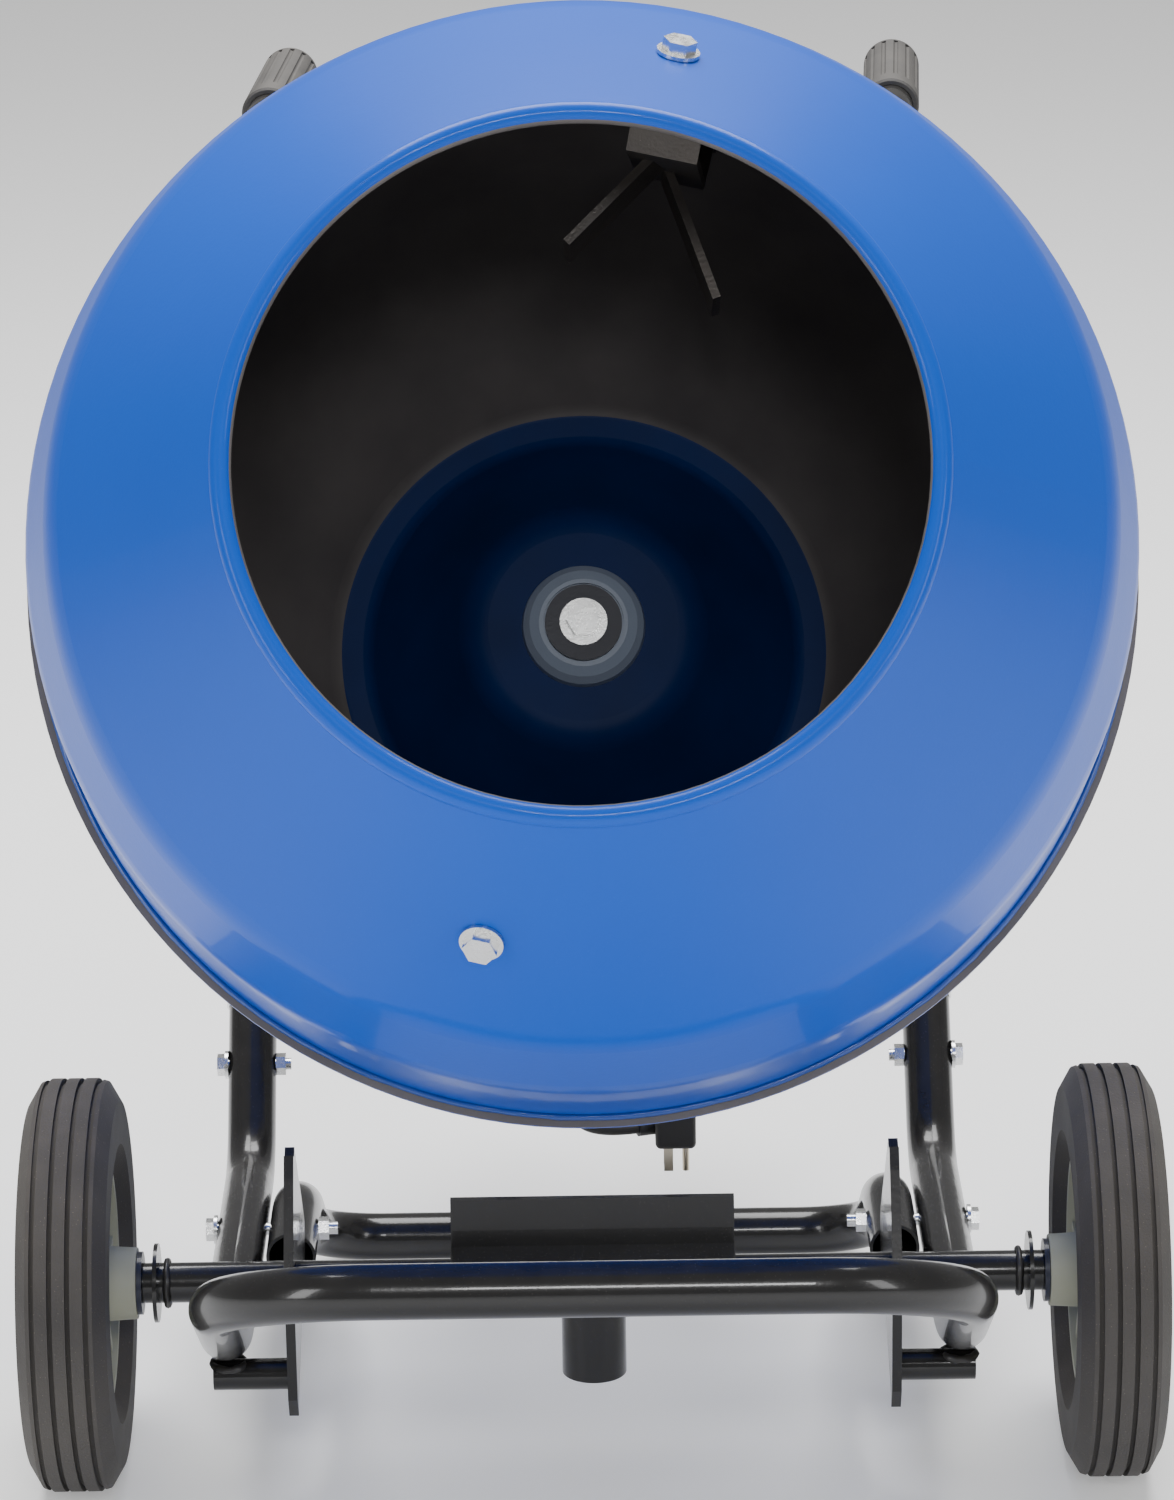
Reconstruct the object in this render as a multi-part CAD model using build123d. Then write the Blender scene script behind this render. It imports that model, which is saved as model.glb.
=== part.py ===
from build123d import *
import os
from math import atan2, cos, degrees, hypot, pi, radians, sin, tan

# Portable concrete mixer on two wheels. X to the right, Y to the back, Z up, millimetres.
# The drum's mouth faces the front (-Y). The model is built from the axle line (Y = 0) and is then
# shifted so that its origin is the centre of its footprint on the floor.

# ---- driving dimensions -------------------------------------------------------------------------
weld_gap = 0.2                  # between pieces that are welded or stacked
run_gap = 0.05                  # radial clearance of a running fit
body_gap = 0.3                  # between neighbours on different bodies

wheel_radius = 127.0
tyre_width = 54.0
rim_radius = 76.0
track_half = 318.0
tread_grooves = 4
groove_width = 3.0
groove_depth = 3.5
hub_radius = 22.0
hub_inner_reach = 37.0          # from the tyre's middle plane inwards
hub_outer_reach = 25.0
web_thickness = 7.0
axle_rod_radius = 8.0
axle_tube_radius = 12.5
axle_tube_wall = 3.0
disc_radius = 24.5
disc_x = 268.0

tube_radius = 16.0
tube_wall = 2.0
leg_x = 226.0                   # rear part of the side legs, risers and handles
bar_x = 217.0                   # front corners
bar_y = -255.0
bar_z = 231.0
leg_z = 98.0                    # level run of the side legs
dip_y = -20.0                   # where the legs reach that level
foot_y = 254.0                  # where the risers start
riser_slope = 50.26
lower_riser_length = 112.0
collar_length = 26.0
collar_wall = 1.6
upper_riser_length = 590.0      # measured from the risers' foot
spigot_length = 75.0
corner_bend = 95.0

rear_bar_y = 326.0
rear_leg_x = 192.5
rear_leg_front_y = 104.0
rear_leg_level_y = 196.0
rear_bend = 52.0

plate_x = 186.0
plate_thickness = 6.0
plate_bottom_z = 46.0
plate_top_z = 207.0
peg_radius = 9.8
peg_reach = 46.0
angle_length = 175.0
angle_height = 36.0
angle_depth = 30.0
angle_thickness = 5.0
stub_radius = 20.0
stub_bottom_z = 64.0
hoop_bolt_y = 150.0

drum_tilt = 28.0
flange_y = 52.0
flange_z = 563.0
sheet = 2.5
flange_radius = 334.0
band_radius = 324.0
shoulder_radius = 303.0
shoulder_depth = 166.0
mouth_radius = 198.0
mouth_depth = 301.0
bead_radius = 6.2
bottom_radius = 160.0
bottom_depth = 243.0
dish_radius = 72.0
dish_depth = 160.0
paddle_angles = (77.0, 257.0)
paddle_width = 42.0
paddle_thickness = 5.0
cone_bolt_depth = 224.0
pan_bolt_depth = 66.0
paddle_gap = 1.3                # the flat feet stand off the round wall

shaft_radius = 12.5
plate_depth = 262.0             # drive plate, behind the flange plane
drive_plate = 5.0
cheek_x = 209.5
cheek_half = 75.0
case_wall = 5.0
bolt_outset = 7.0               # case bolts, outside the case's wall
case_rim = 14.0
lay_drop = 84.0
motor_drop = 30.0
output_teeth, pinion_teeth, output_module = 84, 12, 1.75
wheel_teeth, motor_teeth, input_module = 96, 12, 1.0
motor_radius = 62.0
motor_length = 128.0

handle_reach = 779.0            # riser foot to the handle's bend
handle_bend = 70.0
handle_rise = 5.0
grip_radius = 20.5
grip_length = 112.0
grip_start = 36.0
handle_turn = {"left": 8.0, "right": -5.0}     # at rest, towards the middle

cord_radius = 3.5
drum_axes = Plane(origin=(0, flange_y, flange_z), x_dir=(1, 0, 0),
                  z_dir=(0, -cos(radians(drum_tilt)), sin(radians(drum_tilt))))
parts = {}


# ---- helpers ------------------------------------------------------------------------------------
def add(name, *solids):
    """Keep one node: a single solid, or a group of separate ones."""
    found = [solid for shape in solids for solid in shape.solids()]
    parts[name] = found


def rod(radius, start, end, hole=0.0):
    """A round bar or tube from one point to another."""
    start, end = Vector(*start), Vector(*end)
    length = (end - start).length
    place = Plane(origin=start, z_dir=end - start)
    shape = Cylinder(radius, length, align=(Align.CENTER, Align.CENTER, Align.MIN))
    if hole:
        shape -= Cylinder(hole, length, align=(Align.CENTER, Align.CENTER, Align.MIN))
    return place.location * shape


def turned(points):
    """A solid of revolution about Z from (radius, height) corners."""
    return revolve(Plane.XZ * make_face(Polyline(*points, close=True)), Axis.Z, 360)


def bent_tube(points, radii, radius, wall=0.0):
    """A tube along straight runs and tangent arcs."""
    path = FilletPolyline(*points, radius=radii)
    ring = Circle(radius)
    if wall:
        ring -= Circle(radius - wall)
    return sweep(Plane(origin=path @ 0, z_dir=path % 0) * ring, path)


def mirrored(shape):
    return mirror(shape, Plane.YZ)


def offset_points(points, gap):
    """The corners of a polyline moved sideways by gap, mitred at each corner."""
    moved = []
    for i, (x, y) in enumerate(points):
        normals = []
        for a, b in ((i - 1, i), (i, i + 1)):
            if a >= 0 and b < len(points):
                dx, dy = points[b][0] - points[a][0], points[b][1] - points[a][1]
                length = hypot(dx, dy)
                normals.append((dy / length, -dx / length))
        nx = sum(n[0] for n in normals) / len(normals)
        ny = sum(n[1] for n in normals) / len(normals)
        scale = gap / (nx * nx + ny * ny)
        moved.append((x + nx * scale, y + ny * scale))
    return moved


def sheet_shell(points, radii, thickness):
    """A pressed sheet turned about Z: outside corners, bend radii and thickness."""
    outer = FilletPolyline(*points, radius=radii)
    inner_points = offset_points(points, thickness)
    inner = FilletPolyline(*inner_points, radius=radii)
    ends = [Line(outer @ 0, inner @ 0), Line(outer @ 1, inner @ 1)]
    face = make_face([*outer.edges(), *inner.edges(), *ends])
    return revolve(Plane.XZ * face, Axis.Z, 360)


def hexagon(across_flats, height):
    return extrude(RegularPolygon(across_flats / 2, 6, major_radius=False), height)


def flange_bolt(place, diameter, across_flats, length, flange=None, nut_at=None):
    """A flange-head bolt: head above the place's plane, shank below; an optional nut down the shank."""
    flange = flange or across_flats * 0.72
    head = Cylinder(flange, 2.2, align=(Align.CENTER, Align.CENTER, Align.MIN))
    head += Pos(0, 0, 2.2) * hexagon(across_flats, diameter * 0.65)
    head += Pos(0, 0, -length) * Cylinder(diameter / 2, length,
                                         align=(Align.CENTER, Align.CENTER, Align.MIN))
    found = [place.location * head]
    if nut_at is not None:
        nut = hexagon(across_flats, diameter * 0.8) - Cylinder(diameter / 2 + run_gap, diameter * 2)
        found.append(place.location * (Pos(0, 0, -nut_at - diameter * 0.8) * nut))
    return found


def ball_bearing(bore, outer, width):
    """A sealed bearing as one ring with its shield grooves."""
    middle = (bore + outer) / 2
    body = turned([(bore, 0), (outer, 0), (outer, width), (bore, width)])
    groove = turned([(middle - 2.5, -1), (middle + 2.5, -1), (middle + 2.5, 1), (middle - 2.5, 1)])
    return body - groove - Pos(0, 0, width) * groove


def gear(teeth, module, width, bore, thin=0.82):
    """A spur gear with straight-flanked teeth; thin is the tooth's share of half a pitch."""
    pitch = teeth * module / 2
    root, tip = pitch - 1.25 * module, pitch + 0.9 * module
    step = 2 * pi / teeth
    half = step / 4 * thin
    points = []
    for i in range(teeth):
        middle = i * step
        for radius, turn in ((root, -half * 1.45), (tip, -half * 0.5), (tip, half * 0.5), (root, half * 1.45)):
            points.append((radius * cos(middle + turn), radius * sin(middle + turn)))
    blank = extrude(make_face(Polyline(*points, close=True)), width)
    return blank - Cylinder(bore, 4 * width) if bore else blank


# ---- wheels and axle ----------------------------------------------------------------------------
def on_axle(shape, side):
    """Turn a shape made along +Z so that +Z points outwards on the given side, at the wheel."""
    place = Plane(origin=(side * track_half, 0, wheel_radius), x_dir=(0, 1, 0), z_dir=(side, 0, 0))
    return place.location * shape


def tyre():
    half, rim, top = tyre_width / 2, rim_radius, wheel_radius
    corners = [(rim, -half + 8), (rim + 10, -half), (top - 14, -half), (top - 2, -half + 7), (top, -half + 13),
               (top, half - 13), (top - 2, half - 7), (top - 14, half), (rim + 10, half), (rim, half - 8)]
    body = turned(corners)
    spacing = (tyre_width - 22) / (tread_grooves - 1)
    for i in range(tread_grooves):
        z = (i - (tread_grooves - 1) / 2) * spacing
        body -= turned([(top - groove_depth, z - groove_width / 2), (top + 5, z - groove_width / 2),
                        (top + 5, z + groove_width / 2), (top - groove_depth, z + groove_width / 2)])
    return body


def rim():
    half = tyre_width / 2 - 8
    outer, bore, web = rim_radius - weld_gap, axle_rod_radius + run_gap, web_thickness / 2
    corners = [(bore, -hub_inner_reach), (hub_radius, -hub_inner_reach), (hub_radius + 2, -web),
               (outer - 7, -web), (outer - 5, -half), (outer, -half), (outer, half), (outer - 5, half),
               (outer - 7, web), (hub_radius + 2, web), (hub_radius, hub_outer_reach), (bore, hub_outer_reach)]
    body = turned(corners)
    for i in range(6):
        rib = Box(outer - 7 - hub_radius, 5, 2 * half - 6)
        body += Rot(0, 0, i * 60) * Pos((outer - 7 + hub_radius) / 2 + 0.5, 0, 0) * rib
    return body - Cylinder(bore, 4 * tyre_width)


def make_wheels():
    thick = 3.0
    for name, side in (("left", -1), ("right", 1)):
        add(f"tyre_{name}", on_axle(tyre(), side))
        add(f"rim_{name}", on_axle(rim(), side))
        pin = Cylinder(1.6, 26, rotation=(90, 0, 0))
        add(f"split_pin_{name}", on_axle(Pos(0, 0, hub_outer_reach + thick + 4) * pin, side))
    bore = axle_rod_radius + weld_gap
    inner = turned([(bore, -hub_inner_reach - body_gap - thick), (19.5, -hub_inner_reach - body_gap - thick),
                    (19.5, -hub_inner_reach - body_gap), (bore, -hub_inner_reach - body_gap)])
    outer = turned([(bore, hub_outer_reach + body_gap), (17, hub_outer_reach + body_gap),
                    (17, hub_outer_reach + thick), (bore, hub_outer_reach + thick)])
    add("hub_washers", *[on_axle(shape, side) for side in (-1, 1) for shape in (inner, outer)])
    end = track_half + hub_outer_reach + thick + 9
    axle = rod(axle_rod_radius, (-end, 0, wheel_radius), (end, 0, wheel_radius))
    for side in (-1, 1):
        hole = Pos(side * (track_half + hub_outer_reach + thick + 4), 0, wheel_radius)
        axle -= hole * Cylinder(1.8, 60)
    add("axle_rod", axle)
    end = track_half - hub_inner_reach - body_gap - thick - weld_gap
    tube = rod(axle_tube_radius, (-end, 0, wheel_radius), (end, 0, wheel_radius), axle_rod_radius + weld_gap)
    add("axle_tube", tube)
    discs = [rod(disc_radius, (side * disc_x, 0, wheel_radius), (side * (disc_x + 2.5), 0, wheel_radius),
                 axle_tube_radius + weld_gap) for side in (-1, 1)]
    add("axle_discs", *discs)


# ---- lower frame --------------------------------------------------------------------------------
def along_riser(distance, side=1):
    """A point on a riser's centreline, at a distance from its foot."""
    slope = radians(riser_slope)
    return (side * leg_x, foot_y + distance * cos(slope), leg_z + distance * sin(slope))


def make_hoops():
    half = [along_riser(lower_riser_length), (leg_x, foot_y, leg_z), (leg_x, dip_y, leg_z), (bar_x, bar_y, bar_z)]
    points = half + [(-x, y, z) for x, y, z in reversed(half)]
    front = bent_tube(points, [60, 120, corner_bend, corner_bend, 120, 60], tube_radius, tube_wall)
    half = [(rear_leg_x, rear_leg_front_y, leg_z), (rear_leg_x, rear_leg_level_y, leg_z),
            (rear_leg_x, rear_bar_y, tube_radius)]
    points = half + [(-x, y, z) for x, y, z in reversed(half)]
    rear = bent_tube(points, [90, rear_bend, rear_bend, 90], tube_radius, tube_wall)
    bolts, inner = [], rear_leg_x - tube_radius
    for side in (-1, 1):
        x = leg_x + tube_radius
        place = Plane(origin=(side * x, hoop_bolt_y, leg_z), x_dir=(0, 1, 0), z_dir=(side, 0, 0))
        bolts += flange_bolt(place, 8, 13, x - inner + 12, nut_at=x - inner)
        hole = rod(4.2, (side * (inner - 5), hoop_bolt_y, leg_z), (side * (x + 5), hoop_bolt_y, leg_z))
        front -= hole
        rear -= hole
    for side in (-1, 1):
        point = along_riser(lower_riser_length - 40, side)
        hole = rod(4.2, (point[0] - 30, point[1], point[2]), (point[0] + 30, point[1], point[2]))
        front -= hole
    add("front_hoop", front)
    add("rear_hoop", rear)
    add("hoop_bolts", *bolts)


def side_plate():
    """A flat plate beside the axle: narrow notched top, broad middle, pointed lower tip."""
    low, high = plate_bottom_z, plate_top_z
    outline = [(-30, low + 14), (-22, low), (-10, low + 10), (40, low + 34), (100, leg_z - 20), (102, leg_z + 26),
               (60, high - 40), (30, high - 8), (22, high), (14, high - 4), (8, high), (0, high - 12), (-30, high - 60)]
    face = make_face(Polyline(*outline, close=True))
    plate = extrude(Plane(origin=(plate_x - plate_thickness / 2, 0, 0), x_dir=(0, 1, 0), z_dir=(1, 0, 0)) * face,
                    plate_thickness)
    return plate - rod(axle_tube_radius + weld_gap, (plate_x - 20, 0, wheel_radius), (plate_x + 20, 0, wheel_radius))


def make_lower_frame():
    make_hoops()
    plate = side_plate()
    add("side_plates", plate, mirrored(plate))
    outer = plate_x + plate_thickness / 2
    peg_z = leg_z - tube_radius - weld_gap - peg_radius
    peg = rod(peg_radius, (outer + weld_gap, dip_y + 4, peg_z), (outer + peg_reach, dip_y + 4, peg_z), peg_radius - 3)
    add("rest_pegs", peg, mirrored(peg))
    top = wheel_radius + axle_tube_radius + weld_gap
    leg = Pos(0, -2, top + angle_thickness / 2) * Box(angle_length, angle_depth, angle_thickness)
    web = Pos(0, -2 + angle_depth / 2 - angle_thickness / 2, top + angle_height / 2)
    add("angle_plate", leg + web * Box(angle_length, angle_thickness, angle_height))
    stub = rod(stub_radius, (0, 0, stub_bottom_z), (0, 0, wheel_radius + 6), stub_radius - 3)
    stub += rod(stub_radius - 2.9, (0, 0, stub_bottom_z), (0, 0, stub_bottom_z + 4))
    saddle = rod(axle_tube_radius + weld_gap, (-60, 0, wheel_radius), (60, 0, wheel_radius))
    add("centre_stub", stub - saddle)


# ---- upper frame and handles --------------------------------------------------------------------
def riser_plane(side, distance):
    """Origin on the riser, Z up the slope, X to the right."""
    slope = radians(riser_slope)
    return Plane(origin=along_riser(distance, side), x_dir=(1, 0, 0), z_dir=(0, cos(slope), sin(slope)))


def cradle_bolt_places():
    return upper_riser_length - 120 - 136, upper_riser_length - 120


def make_risers():
    bolts, collars = [], []
    inner = tube_radius - tube_wall
    for name, side in (("left", -1), ("right", 1)):
        start = lower_riser_length + weld_gap
        tube = rod(tube_radius, along_riser(start, side), along_riser(upper_riser_length, side), inner)
        spigot = rod(inner - weld_gap, along_riser(start - spigot_length, side), along_riser(start + 2, side), inner - 2.5)
        body = tube + spigot + rod(inner + 0.5, along_riser(start, side), along_riser(start + 2, side), inner - 2.5)
        for distance in cradle_bolt_places():
            x, y, z = along_riser(distance, side)
            body -= rod(4.2, (x - 30, y, z), (x + 30, y, z))
        x, y, z = along_riser(lower_riser_length - 40, side)
        body -= rod(4.2, (x - 30, y, z), (x + 30, y, z))
        place = Plane(origin=(x + side * tube_radius, y, z), x_dir=(0, 1, 0), z_dir=(side, 0, 0))
        bolts += flange_bolt(place, 8, 13, 2 * tube_radius + 10, nut_at=2 * tube_radius)
        add(f"upper_riser_{name}", body)
        collars.append(rod(tube_radius + collar_wall, along_riser(start + weld_gap, side),
                           along_riser(start + collar_length, side), tube_radius + weld_gap))
    add("riser_bolts", *bolts)
    add("riser_collars", *collars)


def make_handles():
    slope, rise = radians(riser_slope), radians(handle_rise)
    bend = Vector(*along_riser(handle_reach))
    direction = Vector(0, cos(rise), sin(rise))
    tip = grip_start + grip_length
    inner = tube_radius - tube_wall - run_gap
    for name, side in (("left", -1), ("right", 1)):
        axis = Axis(along_riser(0, side), (0, cos(slope), sin(slope)))
        turn = side * handle_turn[name]
        corner = Vector(side * bend.X, bend.Y, bend.Z)
        start = Vector(*along_riser(upper_riser_length + body_gap, side))
        end = corner + direction * (tip - 6)
        tube = bent_tube([start, corner, end], [handle_bend], tube_radius, tube_wall)
        tail = rod(inner, along_riser(upper_riser_length - 90, side), along_riser(upper_riser_length + 3, side))
        collar = rod(tube_radius - 1, along_riser(upper_riser_length + body_gap, side),
                     along_riser(upper_riser_length + 3, side))
        add(f"handle_{name}", (tube + tail + collar).rotate(axis, turn))
        place = Plane(origin=corner + direction * grip_start, x_dir=(1, 0, 0), z_dir=direction)
        grip = Cylinder(grip_radius, grip_length, align=(Align.CENTER, Align.CENTER, Align.MIN))
        grip = fillet(grip.edges().group_by(Axis.Z)[-1], 6)
        grip = chamfer(grip.edges().group_by(Axis.Z)[0], 1.5)
        for i in range(14):
            flute = Pos(grip_radius + 0.6, 0, grip_length / 2 + 4) * Cylinder(1.9, grip_length - 24)
            grip -= Rot(0, 0, i * 360 / 14) * flute
        bore = Cylinder(tube_radius + weld_gap, grip_length - 5.5, align=(Align.CENTER, Align.CENTER, Align.MIN))
        add(f"grip_{name}", (place.location * (grip - bore)).rotate(axis, turn))


def make_cradle():
    """The drive plate across the back of the drum, with cheeks that reach back to the risers."""
    plate = Pos(0, 0, -plate_depth - drive_plate / 2) * Box(2 * (cheek_x - 2), 2 * cheek_half, drive_plate)
    plate -= Pos(0, 0, -plate_depth) * Cylinder(34.5, 40)
    for x, y in case_bolt_spots():
        plate -= Pos(x, y, -plate_depth) * Cylinder(4.2, 40)
    plate = drum_axes.location * plate
    low, high = (drum_axes.location * Pos(0, y, -plate_depth - 0.5) for y in (-cheek_half, cheek_half))
    first, last = (along_riser(distance) for distance in cradle_bolt_places())
    run = 22
    slope = radians(riser_slope)
    dy, dz = run * cos(slope), run * sin(slope)
    outline = [(low.position.Y, low.position.Z), (first[1] - dy + 12, first[2] - dz - 6),
               (first[1] - dy * 0.2 + 20, first[2] - dz * 0.4), (last[1] + dy * 0.6 + 8, last[2] + dz * 0.5),
               (last[1] + dy * 0.2 - 14, last[2] + dz), (high.position.Y, high.position.Z)]
    face = make_face(Polyline(*outline, close=True))
    gap = body_gap + weld_gap
    outer = leg_x - tube_radius - gap
    bolts, body = [], plate
    for side in (-1, 1):
        place = Plane(origin=(outer if side > 0 else -outer + drive_plate, 0, 0), x_dir=(0, 1, 0), z_dir=(1, 0, 0))
        body += extrude(place * face, -drive_plate)
        for distance in cradle_bolt_places():
            x, y, z = along_riser(distance, side)
            head = Plane(origin=(x + side * tube_radius, y, z), x_dir=(0, 1, 0), z_dir=(side, 0, 0))
            through = 2 * tube_radius + gap + drive_plate
            bolts += flange_bolt(head, 8, 13, through + 10, nut_at=through)
            body -= rod(4.2, (x - 40, y, z), (x + 40, y, z))
    add("drive_cradle", body)
    add("cradle_bolts", *bolts)


# ---- drum ---------------------------------------------------------------------------------------
def on_drum(shape):
    return drum_axes.location * shape


def cone_points():
    return [(flange_radius, 0), (band_radius, 0), (band_radius - 2, 105), (shoulder_radius, shoulder_depth),
            (mouth_radius, mouth_depth)]


def pan_points():
    return [(flange_radius, 0), (band_radius, 0), (band_radius - 2, -34), (276, -150), (bottom_radius, -bottom_depth),
            (bottom_radius - 22, -bottom_depth), (dish_radius, -dish_depth), (0, -dish_depth)]


def wall_place(depth, angle):
    """A plane on the drum's outer wall: depth in front of the flange, Z along the outward normal."""
    points = cone_points() if depth > 0 else pan_points()
    for (r1, z1), (r2, z2) in zip(points[1:], points[2:]):
        if min(z1, z2) <= depth <= max(z1, z2):
            radius = r1 + (r2 - r1) * (depth - z1) / (z2 - z1)
            normal = atan2(-(r2 - r1) * (1 if z2 > z1 else -1), abs(z2 - z1))
            break
    turn = radians(angle)
    out = Vector(cos(normal) * cos(turn), cos(normal) * sin(turn), sin(normal))
    inside = Vector(radius * cos(turn), radius * sin(turn), depth)
    return Plane(origin=inside + out * sheet, x_dir=(-sin(turn), cos(turn), 0), z_dir=out)


def paddle(angle):
    """A strap bolted to the cone and the pan, with two broad prongs that stand in towards the axis."""
    front = wall_place(cone_bolt_depth, angle)
    back = wall_place(-pan_bolt_depth, angle)
    turn = radians(angle)
    start = front.origin - front.z_dir * (sheet + paddle_gap + paddle_thickness / 2)
    end = back.origin - back.z_dir * (sheet + paddle_gap + paddle_thickness / 2)
    along_front = front.z_dir.cross(front.x_dir)
    along_back = back.z_dir.cross(back.x_dir)
    radial = Vector(cos(turn), sin(turn), 0)
    knee_front = start - along_front.normalized() * 30 * (1 if along_front.Z > 0 else -1)
    knee_back = end + along_back.normalized() * 22 * (1 if along_back.Z > 0 else -1)
    inset = Vector(*radial) * -58
    mid_front = Vector(knee_front.X, knee_front.Y, knee_front.Z - 42) + inset * 0.9
    mid_back = Vector(knee_back.X, knee_back.Y, knee_back.Z + 30) + inset
    outer_front = start + along_front.normalized() * 18 * (1 if along_front.Z > 0 else -1)
    outer_back = end - along_back.normalized() * 18 * (1 if along_back.Z > 0 else -1)
    path = Polyline(outer_front, knee_front, mid_front, mid_back, knee_back, outer_back)
    side = Vector(-sin(turn), cos(turn), 0)
    profile = Plane(origin=outer_front, x_dir=side, z_dir=knee_front - outer_front)
    strap = sweep(profile * Rectangle(paddle_width, paddle_thickness), path, transition=Transition.RIGHT)
    centre = (mid_front + mid_back) * 0.5
    for lean, place in ((-32, 0.30), (32, -0.30)):
        base = centre + Vector(0, 0, 1) * place * 90
        blade = Plane(origin=base + radial * 2, x_dir=side, z_dir=Vector(0, 0, 1))
        prong = Rot(0, 0, lean) * Pos(0, 42, 0) * Box(paddle_thickness, 88, paddle_width)
        strap += blade.location * (prong if blade.y_dir.dot(radial) < 0 else Rot(0, 0, 180) * prong)
    for place in (front, back):
        strap -= place.location * Cylinder(5.3, 60)
    return strap


def make_drum():
    cone = sheet_shell(cone_points(), [3, 55, 60], sheet)
    cone += Pos(0, 0, mouth_depth) * Torus(mouth_radius - 1, bead_radius)
    pan = sheet_shell(pan_points(), [3, 50, 90, 14, 10, 24], -sheet)
    bolts = []
    for angle in paddle_angles:
        for depth in (cone_bolt_depth, -pan_bolt_depth):
            place = wall_place(depth, angle)
            if depth > 0:
                cone -= place.location * Cylinder(5.3, 30)
            else:
                pan -= place.location * Cylinder(5.3, 30)
            seat = Plane(origin=place.origin + place.z_dir * 0.3, x_dir=place.x_dir, z_dir=place.z_dir)
            stack = 0.3 + sheet + paddle_gap + paddle_thickness + 0.3
            bolts += flange_bolt(seat, 10, 17, stack + 12, flange=12.5, nut_at=stack)
    pan -= Pos(0, 0, -dish_depth) * Cylinder(shaft_radius + 0.5, 20)
    add("drum_cone", on_drum(cone))
    add("drum_pan", on_drum(pan))
    add("mixing_paddles", *[on_drum(paddle(angle)) for angle in paddle_angles])
    add("paddle_bolts", *[on_drum(bolt) for bolt in bolts])


# ---- hub and drive ------------------------------------------------------------------------------
def make_hub():
    back = -dish_depth - sheet
    plate = turned([(shaft_radius + run_gap, back - 6), (56, back - 6), (56, back - weld_gap),
                    (shaft_radius + run_gap, back - weld_gap)])
    add("hub_plate", on_drum(plate))
    face = -dish_depth + weld_gap
    boss = turned([(shaft_radius + run_gap, face), (39, face), (38, face + 5), (34, face + 10), (28, face + 13),
                   (25.4, face + 13), (25.4, face + 10), (shaft_radius + run_gap, face + 10)])
    add("hub_boss", on_drum(boss))
    seat = face + 10 + weld_gap
    washer = turned([(6.6, seat), (24.2, seat), (24.2, seat + 4), (6.6, seat + 4)])
    add("hub_washer", on_drum(washer))
    place = drum_axes.location * Pos(0, 0, seat + 4 + weld_gap)
    add("hub_bolt", *flange_bolt(Plane(place), 12, 19, 46, flange=15))
    top = seat - weld_gap
    rear = -(case_back + case_wall + 0.3)
    shaft = Pos(0, 0, -rear + 12) * Cylinder(shaft_radius, top + rear - 12,
                                            align=(Align.CENTER, Align.CENTER, Align.MIN))
    shaft += Pos(0, 0, -rear) * Cylinder(8.5, 12, align=(Align.CENTER, Align.CENTER, Align.MIN))
    shoulder = back - 6 - weld_gap
    shaft += Pos(0, 0, shoulder - 12) * Cylinder(20, 12, align=(Align.CENTER, Align.CENTER, Align.MIN))
    shaft -= Pos(0, 0, top - 44) * Cylinder(6.05, 60, align=(Align.CENTER, Align.CENTER, Align.MIN))
    add("output_shaft", on_drum(shaft))


case_front = -(plate_depth + drive_plate + 0.2)      # the case stands on the drive plate's back
case_split = case_front - 44.0
case_back = case_split - 39.0
output_gear_z = case_split + 7.0                     # front faces of the gears' zones
lay_gear_z = case_split - 7.0


def case_outline(grow=0.0):
    """The gearbox's outline: two round ends joined by straight flanks."""
    big = output_teeth * output_module / 2 + 10 + grow
    small = wheel_teeth * input_module / 2 + 9 + grow
    circles = Sketch() + [Circle(big), Pos(0, -lay_drop) * Circle(small)]
    return make_hull(circles.edges())


def case_bolt_spots():
    """Where the case is held to the drive plate."""
    big = output_teeth * output_module / 2 + 10 + bolt_outset
    return [(big * cos(radians(a)), big * sin(radians(a))) for a in (0, 60, 120, 180)]


def rim_spots():
    """Where the cover is held to the case."""
    small = wheel_teeth * input_module / 2 + 9 + bolt_outset
    low = [(small * cos(radians(a)), -lay_drop + small * sin(radians(a))) for a in (-20, -90, -160)]
    return case_bolt_spots() + low


def slab(sketch, low, high):
    return Pos(0, 0, low) * extrude(sketch, high - low)


def socket_for(x, y, outer, low, high, boss=5.0):
    """A bearing boss and the bore to cut from it."""
    place = Pos(x, y, low)
    align = (Align.CENTER, Align.CENTER, Align.MIN)
    bore = place * Cylinder(outer + run_gap, high - low, align=align)
    return place * Cylinder(outer + boss, high - low, align=align), bore


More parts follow.
